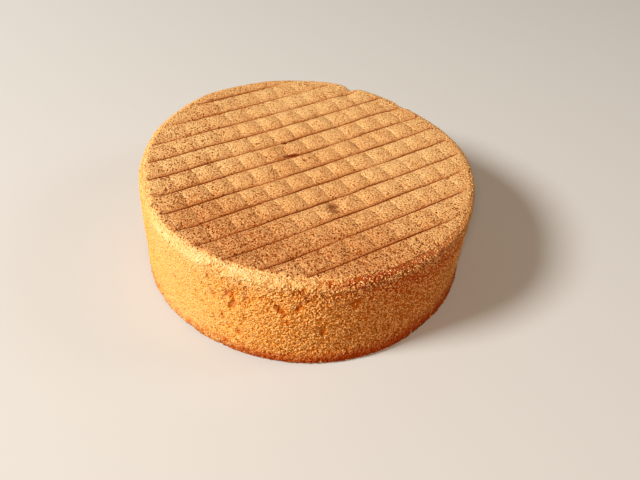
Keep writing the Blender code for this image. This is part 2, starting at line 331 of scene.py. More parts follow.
class StageSettings(PropertyGroup):
    """Floor, lights and camera."""
    floor: paint("Floor", "Colour of the floor", (0.42, 0.42, 0.415))
    light_distance: length("Light distance", "How far the lights stand from the cake", 3000.0)
    ambient_colour: paint("Ambient colour", "Colour of the even light", (1.0, 0.80, 0.64))
    ambient: factor("Ambient", "Strength of the even light", 0.19)
    camera_place: vector("Camera place", "Place of the camera", (-0.00135, -0.3426, 0.3275),
                         "TRANSLATION")
    camera_right: vector("Camera right", "Direction of the frame's right side",
                         (0.99748, 0.02437, 0.06661), "XYZ")
    camera_up: vector("Camera up", "Direction of the frame's top",
                      (-0.06485, 0.69380, 0.71724), "XYZ")
    lens: FloatProperty(name="Lens", description="Focal length on a 36 mm frame", default=34.78,
                        min=1.0, unit="CAMERA")
    for light in (("key", "main light", 174.0, 800.0, (0.98, 0.975, 0.93), 201.0, 37.0),
                  ("fill", "fill light", 53.0, 500.0, (1.0, 0.65, 0.39), 254.0, 40.0),
                  ("edge", "light on the far side", 19.0, 1000.0, (1.0, 0.96, 0.9), 8.0, 32.0)):
        __annotations__.update(light_settings(*light))
    del light


# ---- shapes in numbers

def bell(distance, half_width):
    """A smooth hump: 1 at zero distance and 1/e at one half width."""
    return np.exp(-(distance / half_width) ** 2)


def smooth_step(start, end, value):
    """0 before start, 1 after end, and 3t^2 - 2t^3 between them."""
    t = np.clip((value - start) / (end - start), 0.0, 1.0)
    return t * t * (3.0 - 2.0 * t)


def degrees_between(angle, direction):
    """The shorter way round, in degrees, from a direction to an angle in radians."""
    return (np.degrees(angle) - direction + 180.0) % 360.0 - 180.0


def facing(angle, direction, half_width):
    """A hump around the cake: 1 in this direction and 1/e at one half width, in degrees."""
    return bell(degrees_between(angle, direction), half_width)


def scrambled(cells, seed):
    """A number from 0 to 1 for each whole-numbered cell, the same each time."""
    whole = cells.astype(np.int64).astype(np.uint64)
    mixed = whole[..., 0] * np.uint64(73856093) ^ whole[..., 1] * np.uint64(19349663)
    mixed = mixed ^ whole[..., 2] * np.uint64(83492791) ^ np.uint64(seed * 2654435761)
    for _ in range(2):
        mixed = (mixed ^ (mixed >> np.uint64(29))) * np.uint64(0xBF58476D1CE4E5B9)
    mixed ^= mixed >> np.uint64(32)
    return (mixed & np.uint64(0xFFFFFF)).astype(np.float64) / float(0xFFFFFF)


def soft_noise(points, size, seed):
    """Random values on a grid of this size, blended smoothly in between, from -1 to 1."""
    scaled = points / size
    corner = np.floor(scaled)
    part = scaled - corner
    part = part ** 3 * (part * (part * 6.0 - 15.0) + 10.0)
    total = 0.0
    for step in np.ndindex(2, 2, 2):
        weight = np.prod(np.where(np.array(step) == 1, part, 1.0 - part), axis=-1)
        total = total + weight * scrambled(corner + step, seed)
    return 2.0 * total - 1.0


def layered_noise(points, size, layers, seed):
    """Soft noise at this size, plus finer layers of half the size and half the strength each."""
    total = 0.0
    for layer in range(layers):
        total = total + soft_noise(points, size / 2 ** layer, seed + layer) / 2 ** layer
    return total / (2.0 - 0.5 ** (layers - 1))


def nearest_seed(points, size, seed):
    """Distance to the nearest scattered seed in parts of the spacing, and the seed's number."""
    scaled = points / size
    cell = np.floor(scaled)
    best = np.full(points.shape[:-1], 9.0)
    number = np.zeros(points.shape[:-1])
    for step in np.ndindex(3, 3, 3):
        other = cell + (np.array(step) - 1)
        place = other + np.stack([scrambled(other, seed + k) for k in range(3)], axis=-1)
        distance = np.sqrt(np.sum((scaled - place) ** 2, axis=-1))
        closer = distance < best
        best = np.where(closer, distance, best)
        number = np.where(closer, scrambled(other, seed + 3), number)
    return best, number


def rounded_grains(points, size, seed):
    """Close-packed round grains: 1 - (d / 0.75)^2 from each seed, at least -0.2 between them."""
    distance, _ = nearest_seed(points, size, seed)
    return np.clip(1.0 - (distance / 0.75) ** 2, -0.2, 1.0)


def rim_radius(shape, angle):
    """Radius under the rim: a circle with a hump or a loss at each feature."""
    radius = np.full_like(angle, shape.rim_radius)
    for direction, half_width, outward, _ in RIM_FEATURES:
        radius += outward * facing(angle, direction, half_width)
    return radius


def rim_power(angle):
    """How square the rim's corner is: 2 is a quarter circle, and it is squarer on the right."""
    return 2.0 + 0.9 * facing(angle, 326, 28)


def rim_corner(shape, angle, turn):
    """The rim's corner at this turn from level: how far out and up, and its normal.

    The section is |x|^p + |z|^p = 1, taken along the direction of the turn.
    """
    power = rim_power(angle)
    level, rise = np.cos(turn), np.sin(turn)
    scale = (level ** power + rise ** power) ** (-1.0 / power)
    outward, upward = (level * scale) ** (power - 1.0), (rise * scale) ** (power - 1.0)
    length = np.hypot(outward, upward)
    reach = shape.rounding * scale
    return reach * level, reach * rise, outward / length, upward / length


def rim_height(shape, angle):
    """Height of the rim: level, with a dip at each feature."""
    height = np.full_like(angle, shape.height - shape.headroom)
    for direction, half_width, _, rise in RIM_FEATURES:
        height += rise * facing(angle, direction, half_width)
    return height


def foot_radius(shape, angle):
    """Widest radius of the foot: a circle with a loss at two places."""
    radius = np.full_like(angle, shape.foot_radius)
    for direction, half_width, amount in FOOT_LOSSES:
        radius -= amount * facing(angle, direction, half_width)
    return radius


def side_radius(shape, angle, height):
    """Radius of the side: foot to body by one S curve, body to rim by another, plus slow waves."""
    foot = foot_radius(shape, angle)
    fade = smooth_step(shape.foot_widest, shape.foot_top, height)
    to_rim = smooth_step(shape.taper_from, shape.height - shape.rounding, height)
    radius = foot + (shape.body_radius - foot) * fade
    radius += (rim_radius(shape, angle) - shape.body_radius) * to_rim
    for turns, amount, phase, slope in SIDE_WAVES:
        radius += fade * amount * np.sin(turns * angle + phase + slope * height)
    return radius


def across(x, y, angle):
    """Distance of a point from the line through the origin at this angle."""
    return -math.sin(angle) * x + math.cos(angle) * y


def flat_place(x, y):
    """Points in the plane of the crust, for the noise."""
    return np.stack([x, y, np.zeros_like(x)], axis=-1)


def polar(radius, angle, height):
    """Points from their distance from the middle, their direction and their height."""
    return np.stack([radius * np.cos(angle), radius * np.sin(angle), height], axis=-1)


def strays(marks, x, y, long_line):
    """How far each family of print lines strays here; the cross creases also bow along a row."""
    place = flat_place(x, y)
    long_stray = marks.stray * (soft_noise(place, 23 * MM, 11)
                                + 0.35 * soft_noise(place, 5 * MM, 12))
    cross_stray = marks.stray * (1.2 * soft_noise(place, 19 * MM, 13)
                                 + 0.45 * soft_noise(place, 4 * MM, 14))
    phase = ((long_line - marks.long_offset) / marks.long_pitch) % 1.0
    return long_stray, cross_stray - marks.bow * (1.0 - (2.0 * phase - 1.0) ** 2)


def arch(phase, power):
    """Height of a swell between two grooves: 1 - |2t - 1|^power."""
    return 1.0 - np.abs(2.0 * phase - 1.0) ** power


def groove(phase, pitch, half_width):
    """A groove's section: 1 on the line, falling as a bell of the half width."""
    return bell(np.minimum(phase, 1.0 - phase) * pitch, half_width)


def scar_marks(x, y):
    """Depth and redness of the scars: an ellipse of bell section each, with a ragged edge."""
    depth = np.zeros_like(x)
    red = np.zeros_like(x)
    ragged = 1.0 + 0.35 * soft_noise(flat_place(x, y), 1.6 * MM, 21)
    for at_x, at_y, direction, half_length, half_width, deep, redness in CRUST_SCARS:
        turn = math.radians(direction)
        along = ((x - at_x) * math.cos(turn) + (y - at_y) * math.sin(turn)) / half_length
        aside = across(x - at_x, y - at_y, turn) / half_width
        mark = bell(np.hypot(along, aside) * ragged, 1.0)
        depth += deep * mark
        red = np.maximum(red, redness * mark)
    return depth, red


def crust_level(shape, x, y):
    """Height of the crust before its print: the rim's level, minus the sag, plus slow waves."""
    radius = np.hypot(x, y)
    level = shape.height - shape.headroom
    near_rim = smooth_step(0.55 * shape.rim_radius, shape.rim_radius - shape.rounding, radius)
    height = level + (rim_height(shape, np.arctan2(y, x)) - level) * near_rim
    height -= shape.sag * (1.0 - smooth_step(0.0, 0.9 * shape.rim_radius, radius))
    return height + 0.35 * MM * soft_noise(flat_place(x, y), 34 * MM, 5) * (1.0 - near_rim)


def dented(height, x, y):
    """The crust's height with its dents, how burnt they are, and how dark the crust is baked."""
    burnt = np.zeros_like(x)
    wobble = 1.0 + 0.3 * soft_noise(flat_place(x, y), 3 * MM, 42)
    for at_x, at_y, half_width, deep, brown in CRUST_DENTS:
        mark = bell(np.hypot(x - at_x, y - at_y) * wobble, half_width)
        height = height - deep * mark
        burnt = np.maximum(burnt, brown * mark)
    bake = 0.5 * burnt
    for at_x, at_y, half_width, brown in BAKED_PATCHES:
        bake = bake + brown * bell(np.hypot(x - at_x, y - at_y), half_width)
    return height, burnt, np.clip(bake, -0.8, 1.0)


def pinholes(points, spacing, margin):
    """Pinholes from 0 to 1: more and wider near the crust's margin, and none on the rim's fall."""
    distance, number = nearest_seed(points, spacing, 51)
    crowd = 0.10 + 0.34 * margin
    hole = bell(distance * spacing, (0.28 + 0.36 * number / crowd) * MM) * (number < crowd)
    return hole * (1.0 - smooth_step(0.1 * MM, 0.5 * MM, -points[..., 2]))


def crust_surface(shape, marks, x, y, long_line, cross_line):
    """Height of the crust and its finish at each point.

    long_line and cross_line are the distances of the point across both families of
    print lines. The height is the rim's level, minus the sag, minus what the swells
    between the lines leave, minus grooves, dents, scars and pinholes, plus a fine grain.
    """
    radius = np.hypot(x, y)
    angle = np.arctan2(y, x)
    place = flat_place(x, y)
    height = crust_level(shape, x, y)

    long_turns = (long_line - marks.long_offset) / marks.long_pitch
    cross_turns = (cross_line - marks.cross_offset) / marks.cross_pitch
    long_cell = np.floor(long_turns)
    cross_cell = np.floor(cross_turns)
    long_phase = long_turns - long_cell
    cross_phase = cross_turns - cross_cell
    ragged = 2.2 * MM * soft_noise(place, 12 * MM, 15)
    ragged -= 2.4 * MM * facing(angle, 215, 50)
    out = radius + ragged
    fade = 1.0 - smooth_step(marks.reach - marks.fade, marks.reach, out)
    slow = 1.0 - smooth_step(marks.reach - 3.2 * marks.fade, marks.reach + 0.4 * marks.fade, out)
    calm = smooth_step(45 * MM, 95 * MM, radius) * (1.0 - facing(angle, 250, 50))
    slow = slow * (1.0 - 0.46 * calm)
    cell = np.stack([long_cell, cross_cell, np.zeros_like(x)], axis=-1)
    long_arch = arch(long_phase, marks.arch_power)
    cross_arch = arch(cross_phase, marks.arch_power)
    swell = (0.55 + 0.9 * scrambled(cell, 31)) * long_arch
    height -= slow * marks.long_rise * (1.0 - long_arch)
    height -= slow * marks.cross_rise * (1.0 - swell * cross_arch) * (0.55 + 0.45 * long_arch)
    away = smooth_step(15 * MM, 95 * MM, 0.6 * x + 0.8 * y)
    uneven = np.clip(1.0 + 0.55 * soft_noise(place, 24 * MM, 41), 0.3, 1.4)
    strength = fade * uneven * (1.0 - 0.35 * away)
    long_groove = groove(long_phase, marks.long_pitch, marks.groove_width) * strength
    cross_groove = groove(cross_phase, marks.cross_pitch, 0.6 * marks.groove_width) * strength
    height -= marks.long_depth * long_groove + marks.cross_depth * cross_groove

    height, burnt, bake = dented(height, x, y)
    scar_depth, red = scar_marks(x, y)
    height -= scar_depth
    margin = smooth_step(50 * MM, 108 * MM, radius - 0.25 * x - 0.18 * y)
    solid = np.stack([x, y, -rim_drop(shape, x, y)], axis=-1)
    hole = pinholes(solid, 3.4 * MM, margin)
    height -= 0.5 * MM * hole
    grain = rounded_grains(solid, 1.7 * MM, 61)
    height += ((0.06 + 0.05 * margin) * MM * (grain - 0.5)
               + 0.10 * MM * soft_noise(place, 4.2 * MM, 71))

    # Painted shade on the near slope of each row, which faces away from the light: wide on one side
    # of a deep groove, narrow on the other
    slope = strength * np.where(
        long_phase < 0.5, bell(long_phase * marks.long_pitch, 4.2 * marks.groove_width),
        bell((1.0 - long_phase) * marks.long_pitch, 1.3 * marks.groove_width))
    # Painted shade: the near and right sides of each cell face away from the light, so they, and
    # most of all their corner, are coloured darker.
    near = smooth_step(0.42, 1.0, 1.0 - long_phase)
    right = smooth_step(0.46, 1.0, 1.0 - cross_phase)
    corner = 0.22 * near + 0.24 * right * long_arch + 0.58 * near * right
    corner = corner * (0.5 + 0.9 * scrambled(cell, 35))
    # Painted highlight on the part of each cell that faces the light
    crest = smooth_step(0.30, 0.85, cross_phase) * smooth_step(0.20, 0.60, long_phase) * long_arch
    finish = {"long_groove": long_groove, "cross_groove": cross_groove, "slope": slope,
              "bake": bake, "burnt": burnt, "scar": red, "hole": hole,
              "corner": corner * fade, "crest": crest * fade, "margin": margin,
              "cell": 0.5 + (scrambled(cell, 33) - 0.5) * fade}
    return height, finish


def crumb_relief(crumb, points, rough, torn_side, torn_rim):
    """How far the crumb stands out along its normal, and its finish.

    It is slow lumps, plus large and small grains, minus small bubbles, scattered pores and
    torn places, plus clumps on the torn rim. Noise pulls the points about first, so that no
    grain is round. rough scales the grains, torn_side the tears and torn_rim the clumps.
    """
    pull = np.stack([soft_noise(points, 1.6 * MM, seed) for seed in (91, 92, 93)], axis=-1)
    pulled = points + 0.60 * MM * pull
    large = rounded_grains(pulled, crumb.grain, 111)
    small = rounded_grains(pulled, crumb.fine_grain, 121)
    upright = pulled * np.array([1.0, 1.0, 0.62])
    distance, number = nearest_seed(upright, crumb.pore, 131)
    pore = bell(distance, 0.07 + 0.13 * number) * (number < 0.30 + 0.12 * rough + 0.22 * torn_side)
    torn = layered_noise(upright, 5 * MM, 3, 141)
    tear = smooth_step(0.22, 0.55, torn) * torn_side
    clump = rounded_grains(pulled, crumb.clump, 151)
    relief = crumb.lump_relief * layered_noise(points, crumb.lump, 2, 101)
    relief += crumb.grain_relief * (large - 0.5) * (0.34 + 0.66 * rough)
    relief += crumb.fine_relief * (small - 0.5) * (0.45 + 0.55 * rough)
    bubble = bell(nearest_seed(points + 0.4 * MM * pull, crumb.bubble, 181)[0], 0.36)
    relief -= crumb.bubble_depth * bubble * (0.3 + 0.7 * rough)
    relief -= crumb.pore_depth * pore + crumb.tear_depth * tear
    relief += crumb.clump_relief * (clump - 0.72) * torn_rim
    # Painted shade between the torn rim's clumps, carried with the pores
    between = torn_rim * smooth_step(0.45, 0.0, clump)
    grain = 0.45 * large + 0.45 * small + 0.1 * clump - 0.3 * bubble
    return relief, {"grain": np.clip(grain, 0.0, 1.0),
                    "pore": np.clip(pore + 0.75 * tear + 0.55 * between, 0.0, 1.0)}


# ---- meshes

def new_object(name, points, faces, finish, hidden=0):
    """A smooth mesh object from whole arrays, with each finish value as an attribute of its points.

    faces is a list of arrays, each with one row of corner numbers per face. The last
    ones, as many as hidden says, only close the piece inside the cake and are flat.
    """
    mesh = bpy.data.meshes.new(name)
    corners = np.concatenate([part.reshape(-1) for part in faces]).astype(np.int32)
    sizes = np.concatenate([np.full(len(part), part.shape[1]) for part in faces])
    starts = np.concatenate([[0], np.cumsum(sizes)[:-1]]).astype(np.int32)
    mesh.vertices.add(len(points))
    mesh.vertices.foreach_set("co", points.astype(np.float32).reshape(-1))
    mesh.loops.add(len(corners))
    mesh.loops.foreach_set("vertex_index", corners)
    mesh.polygons.add(len(starts))
    mesh.polygons.foreach_set("loop_start", starts)
    mesh.update(calc_edges=True)
    mesh.validate()
    flat = np.zeros(len(starts), bool)
    flat[len(starts) - hidden:] = True
    mesh.attributes.new("sharp_face", "BOOLEAN", "FACE").data.foreach_set("value", flat)
    for key, values in finish.items():
        layer = mesh.attributes.new(key, "FLOAT", "POINT")
        layer.data.foreach_set("value", values.astype(np.float32).reshape(-1))
    piece = bpy.data.objects.new(name, mesh)
    bpy.context.scene.collection.objects.link(piece)
    return piece


def ring_faces(index):
    """Faces between rings of point numbers: each row joins the next, and its end its start."""
    after = np.roll(index, -1, axis=1)
    return np.stack([index[:-1], after[:-1], after[1:], index[1:]], axis=-1).reshape(-1, 4)


def numbered(rows, columns, first=0):
    """The point numbers of a grid."""
    return first + np.arange(rows * columns).reshape(rows, columns)


def cap_faces(ring, middle, upward):
    """Triangles from a ring of point numbers to one middle point."""
    after = np.roll(ring, -1)
    first, second = (ring, after) if upward else (after, ring)
    return np.stack([first, second, np.full_like(ring, middle)], axis=-1)


def place_piece(piece, material):
    """Gives the piece its material, and lets it ride on the cake in place of the plain solid."""
    piece.data.materials.append(material)
    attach(piece, "root")
    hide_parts("sponge_cake")


def stations(pitch, offset, reach, marks):
    """Mesh lines across a family of grooves: close together at a groove and wide apart between."""
    zone = marks.fine_zone
    fine = np.linspace(-zone, zone, 1 + round(2 * zone / marks.fine_step))
    gap = pitch - 2 * zone
    count = round(gap / marks.coarse_step)
    one = np.concatenate([fine, zone + gap * np.arange(1, count) / count])
    turns = np.arange(-math.ceil(reach / pitch) - 1, math.ceil(reach / pitch) + 2)
    lines = (offset + turns[:, None] * pitch + one[None, :]).reshape(-1)
    return np.sort(lines[np.abs(lines) < reach + pitch / 8])


def edge_loop(faces, count):
    """Point numbers around the outside of a patch of square faces, in order.

    An outer edge is one that no other face runs back along. Each round doubles the
    list with a jump that is twice as long.
    """
    starts = faces.reshape(-1)
    ends = np.roll(faces, -1, axis=1).reshape(-1)
    there = starts * count + ends
    back = ends * count + starts
    outer = ~np.isin(there, back)
    jump = np.arange(count)
    jump[starts[outer]] = ends[outer]
    loop = starts[outer][:1]
    while len(loop) < outer.sum():
        loop = np.concatenate([loop, jump[loop]])
        jump = jump[jump]
    loop = loop[:outer.sum()]
    if len(np.unique(loop)) != len(loop):
        raise ValueError("the crust's patch has no single outline")
    return loop


def crust_edge(shape, angle):
    """Radius where the crust's skin ends: inside the rim's corner, further in where it is torn."""
    place = polar(shape.rim_radius, angle, np.zeros_like(angle))
    front = facing(angle, 261, 19)
    left = facing(angle, 212, 34)
    right = facing(angle, 301, 26)
    inset = (2.4 + 1.7 * left + 2.6 * front + 3.4 * right) * MM
    ragged = (0.8 + 0.6 * left + 1.3 * front) * MM * layered_noise(place, 9 * MM, 3, 81)
    ragged += (0.45 + 0.75 * front + 0.55 * right) * MM * layered_noise(place, 3 * MM, 2, 86)
    return side_radius(shape, angle, rim_height(shape, angle) - shape.rounding) - inset + ragged


def rim_drop(shape, x, y):
    """How far the rim's rounding falls below the crust's level: its section past its start."""
    angle = np.arctan2(y, x)
    power = rim_power(angle)
    start = side_radius(shape, angle, rim_height(shape, angle) - shape.rounding) - shape.rounding
    past = np.clip((np.hypot(x, y) - start) / shape.rounding, 0.0, 0.999)
    return shape.rounding * (1.0 - (1.0 - past ** power) ** (1.0 / power))


def crust_patch(shape, marks):
    """The inside of the crust: a grid along both families of print lines, cut to a circle."""
    reach = shape.rim_radius
    long_lines = stations(marks.long_pitch, marks.long_offset, reach, marks)
    cross_lines = stations(marks.cross_pitch, marks.cross_offset, reach, marks)
    lines = np.stack(np.meshgrid(long_lines, cross_lines, indexing="ij"), axis=-1)
    index = np.arange(lines[..., 0].size).reshape(lines.shape[:2])
    faces = np.stack([index[:-1, :-1], index[1:, :-1], index[1:, 1:], index[:-1, 1:]], axis=-1)
    faces = faces.reshape(-1, 4)
    lines = lines.reshape(-1, 2)
    normals = np.array([[-math.sin(marks.long_angle), math.cos(marks.long_angle)],
                        [-math.sin(marks.cross_angle), math.cos(marks.cross_angle)]])
    unmix = np.linalg.inv(normals).T
    straight = lines @ unmix
    stray = np.stack(strays(marks, straight[:, 0], straight[:, 1], lines[:, 0]), axis=-1)
    fade = 1.0 - smooth_step(marks.reach - marks.fade, marks.reach, np.hypot(*straight.T))
    flat = (lines + stray * fade[:, None]) @ unmix
    middles = flat[faces].mean(axis=1)
    inner = crust_edge(shape, np.arctan2(middles[:, 1], middles[:, 0])) - RING_BAND - 0.2 * MM
    faces = faces[np.hypot(middles[:, 0], middles[:, 1]) < inner]
    used, faces = np.unique(faces, return_inverse=True)
    faces = faces.reshape(-1, 4)
    flat = flat[used]
    signed = np.cross(flat[faces[0, 1]] - flat[faces[0, 0]], flat[faces[0, 2]] - flat[faces[0, 0]])
    return flat, lines[used], faces if signed > 0 else faces[:, ::-1]


def build_crust(shape, marks):
    """The crust: a thin closed skin with the rack's print.

    Rings carry the edge of the patch outwards over the rim, down, and back under to the middle.
    """
    flat, lines, faces = crust_patch(shape, marks)
    loop = edge_loop(faces, len(flat))
    angle = np.arctan2(flat[loop, 1], flat[loop, 0])
    outer = crust_edge(shape, angle)
    flat[loop] *= ((outer - RING_BAND) / np.hypot(flat[loop, 0], flat[loop, 1]))[:, None]

    steps = np.array([0.13, 0.25, 0.37, 0.48, 0.59, 0.69, 0.78, 0.86, 0.93, 1.0])
    radii = outer - RING_BAND * (1.0 - steps[:, None])
    rim_x = (radii * np.cos(angle)).reshape(-1)
    rim_y = (radii * np.sin(angle)).reshape(-1)
    x = np.concatenate([flat[:, 0], rim_x])
    y = np.concatenate([flat[:, 1], rim_y])
    rim_lines = [across(rim_x, rim_y, turn) for turn in (marks.long_angle, marks.cross_angle)]
    lines = np.concatenate([lines, np.stack(rim_lines, axis=-1)])
    height, finish = crust_surface(shape, marks, x, y, lines[:, 0], lines[:, 1])
    edge = np.zeros(len(x))
    edge[len(flat):] = np.repeat(steps, len(loop))
    lift = (0.45 * MM * (1.0 - smooth_step(0.35, 0.95, edge))
            - 0.10 * MM * smooth_step(0.85, 1.0, edge))
    crumbly = rounded_grains(np.stack([x, y, height], axis=-1), 1.9 * MM, 83)
    lift = lift + 0.50 * MM * (crumbly - 0.55) * smooth_step(0.1, 0.7, edge)
    height = np.minimum(height - rim_drop(shape, x, y) + lift, shape.height - CRUST_GAP)
    points = np.stack([x, y, height], axis=-1)
    finish["edge"] = edge
    turned = np.arctan2(y, x)
    finish["pale"] = np.clip(0.80 + 0.34 * facing(turned, 247, 28)
                             - 0.55 * facing(turned, 325, 46), 0.0, 1.1)

    under_radii = np.array([0.998, 0.97, 0.5])
    under_drop = np.array([1.2, 2.6, 4.4]) * MM
    last = points[-len(loop):]
    under = last[None] * np.stack([under_radii, under_radii, np.ones(3)], axis=-1)[:, None, :]
    under[..., 2] -= under_drop[:, None]
    middle = np.array([[0.0, 0.0, under[-1, :, 2].mean()]])
    points = np.concatenate([points, under.reshape(-1, 3), middle])
    extra = len(points) - len(edge)
    finish = {key: np.concatenate([values, np.full(extra, 1.0 if key == "edge" else 0.0)])
              for key, values in finish.items()}

    rows = len(steps) + len(under_radii)
    rings = np.concatenate([loop[None], numbered(rows, len(loop), len(flat))])
    bands = ring_faces(rings)[:, ::-1]
    cap = cap_faces(rings[-1], len(points) - 1, upward=False)
    return new_object("crust", points, [faces, bands, cap], finish, hidden=4 * len(loop))


def crumb_sections(shape, crumb, angle):
    """Smooth rows of the crumb body from the middle of the base to under the crust.

    Each row is a ring with its radius, height and the two parts of its normal: the base,
    the foot's rounding (a quarter ellipse), the side, the rim's rounding (a quarter circle)
    and a lip that runs in under the crust. The last value says where the pieces part.
    """
    rows = []
    zero = np.zeros_like(angle)

    def row(radius, height, outward, upward):
        rows.append((radius + zero, height + zero, outward + zero, upward + zero))

    foot = foot_radius(shape, angle)
    for share in (0.25, 0.50, 0.70, 0.84, 0.92, 0.965, 0.985):
        row(foot * share, 0.0, 0.0, -1.0)
    for turn in np.linspace(0.0, 0.5 * math.pi, 5)[:-1]:
        row(foot - shape.foot_edge * (1.0 - math.sin(turn)),
            shape.foot_widest * (1.0 - math.cos(turn)), math.sin(turn), -math.cos(turn))
    top = rim_height(shape, angle)
    heights = (shape.foot_widest, crumb.base_top, crumb.side_middle, crumb.side_top)
    for low, high in zip(heights[:-1], heights[1:]):
        for height in np.linspace(low, high, round((high - low) / crumb.row_step), endpoint=False):
            row(side_radius(shape, angle, height), height, 1.0, 0.0)
        rows.append(None)
    corner = top - shape.rounding
    count = round((shape.height - shape.rounding - crumb.side_top) / crumb.rim_step)
    for share in np.linspace(0.0, 1.0, count, endpoint=False):
        height = crumb.side_top + share * (corner - crumb.side_top)
        row(side_radius(shape, angle, height), height, 1.0, 0.0)
    outer = side_radius(shape, angle, corner) - shape.rounding
    count = round(0.5 * math.pi * shape.rounding / crumb.rim_step)
    for turn in np.linspace(0.0, 0.5 * math.pi, count + 1):
        out, up, outward, upward = rim_corner(shape, angle, turn)
        row(outer + out, corner + up, outward, upward)
    for inward, drop in ((0.7, 0.05), (1.6, 0.2), (2.7, 0.5), (4.0, 1.5)):
        row(outer - inward * MM, top - drop * MM, 0.0, 1.0)
    splits = [index - k for k, index in enumerate(i for i, part in enumerate(rows) if part is None)]
    return [np.stack(part) for part in zip(*(part for part in rows if part is not None))], splits


def hollowed(shape, relief, smooth, turned, height):
    """The side's relief with its large hollows, a leaning ellipse each, and where they are, for the
    painted shade inside them.
    """
    ragged = 1.0 + 0.45 * soft_noise(smooth, 1.9 * MM, 161)
    hollow = np.zeros_like(relief)
    for direction, level, half_width, half_height, lean, depth in SIDE_HOLLOWS:
        around = np.radians(degrees_between(turned, direction)) * shape.body_radius
        lean = math.radians(lean)
        aside = around * math.cos(lean) + (height - level) * math.sin(lean)
        along = (height - level) * math.cos(lean) - around * math.sin(lean)
        mark = bell(np.hypot(aside / half_width, along / half_height) * ragged, 1.0)
        relief = relief - depth * mark
        hollow = np.maximum(hollow, mark)
    return relief, hollow


def crumb_tints(shape, turned, height, upward):
    """How far the crumb is worn pale at the rim and painted light on the left side, painted shaded
    on the right side and under the crust's edge, skinned, and baked at its foot.
    """
    # Pale band along the rim, strongest on the left and none on the right
    rubbed = 0.60 + 0.32 * facing(turned, 239, 27) - 0.85 * facing(turned, 312, 34)
    rim_start = shape.height - 1.7 * shape.rounding - 12 * MM * facing(turned, 242, 25)
    rubbed = rubbed * smooth_step(rim_start, shape.height - 0.2 * shape.rounding, height)
    down = 0.75 + 0.25 * smooth_step(30 * MM, 66 * MM, height)
    # Painted shade on the right side, which faces away from the light, strongest under the rim
    browned = facing(turned, 315, 34) * (0.62 + 0.38 * smooth_step(44 * MM, 60 * MM, height))
    # Painted shadow right under the crust's edge on the right
    shadow_under_crust = facing(turned, 302, 18) * smooth_step(58 * MM, 65 * MM, height)
    shade = facing(turned, 303, 23) * smooth_step(62.5 * MM, 66.5 * MM, height)
    # Painted light: the whole left side, which faces the light, is made paler
    return {"rubbed": np.maximum(rubbed, 0.60 * down * facing(turned, 226, 31)),
            "browned": np.clip(browned + 0.5 * shadow_under_crust, 0.0, 1.0),
            "shade": shade * (0.55 + 0.45 * smooth_step(0.0, 0.6, upward)),
            "skin": facing(turned, 346, 30) * smooth_step(64 * MM, 67 * MM, height),
            "foot": 0.96 - 0.30 * facing(turned, 213, 26)}


def crumb_surface(shape, crumb, angle):
    """Points and finish of the whole crumb body, row by row, and the rows where the pieces part."""
    (radius, height, outward, upward), splits = crumb_sections(shape, crumb, angle)
    smooth = polar(radius, angle, height)
    normal = polar(outward, angle, upward)
    turned = np.broadcast_to(angle, height.shape)
    front = facing(turned, 292, 44)
    left = facing(turned, 226, 31)
    high = smooth_step(42 * MM, 62 * MM, height)
    edge = facing(turned, 355, 26) * smooth_step(60 * MM, 66 * MM, height)
    rough = 0.40 + 0.52 * front + 0.20 * high * front + 0.10 * high - 0.42 * left - 0.6 * edge
    rough = np.clip(rough, 0.0, 1.0)
    torn_rim = 0.44 * facing(turned, 260, 21) + 0.95 * facing(turned, 301, 17)
    torn_rim = torn_rim * smooth_step(50 * MM, 64 * MM, height)
    torn_rim = np.clip(torn_rim + 0.22 * smooth_step(62 * MM, 66 * MM, height) - edge, 0.0, 1.0)
    torn_side = facing(turned, 262, 21) * (0.40 + 0.54 * high)
    relief, finish = crumb_relief(crumb, smooth, rough, torn_side, torn_rim)
    set_back = facing(turned, 306, 22) * bell(height - 61.5 * MM, 4 * MM)
    relief = relief - crumb.recess * set_back
    relief, finish["hollow"] = hollowed(shape, relief, smooth, turned, height)
    base = upward < -0.5
    relief = np.where(base, 0.0, relief)
    low = height < 1.5 * shape.foot_widest
    notch = smooth_step(0.15, 0.55, layered_noise(smooth, 4.2 * MM, 2, 165))
    relief = np.where(low, np.clip(1.3 * relief - 0.9 * MM * notch, -1.5 * MM, 0.38 * MM), relief)
    flat = smooth_step(0.75, 1.0, upward)
    relief = relief * (1.0 - 0.5 * flat) - 0.25 * MM * flat
    points = smooth + normal * relief[..., None]
    reach = np.hypot(points[..., 0], points[..., 1])
    points[..., :2] *= np.minimum(1.0, (shape.foot_radius + FOOT_SPREAD) / reach)[..., None]
    points[..., 2] = np.clip(points[..., 2], 0.0, shape.height - CRUMB_GAP)
    tints = crumb_tints(shape, turned, height, upward)
    return points, {**finish, **tints, "rough": rough, "torn": torn_rim}, splits


def inner_rows(first, last, wall):
    """Two rings inside a band, level with its last row and its first, to close it like a tyre."""
    inside = []
    for row in (last, first):
        radius = np.hypot(row[:, 0], row[:, 1])
        ring = row.copy()
        ring[:, :2] *= (1.0 - wall / radius)[:, None]
        inside.append(ring)
    return np.stack(inside)


def build_band(name, points, finish, wall):
    """A closed band: its visible rows, then two rows inside."""
    inside = inner_rows(points[0], points[-1], wall)
    whole = np.concatenate([points, inside])
    rows, columns = whole.shape[:2]
    extended = {key: np.concatenate([values, np.zeros((2, columns))]).reshape(-1)
                for key, values in finish.items()}
    index = numbered(rows, columns)
    faces = ring_faces(np.concatenate([index, index[:1]]))
    return new_object(name, whole.reshape(-1, 3), [faces], extended, hidden=3 * columns)


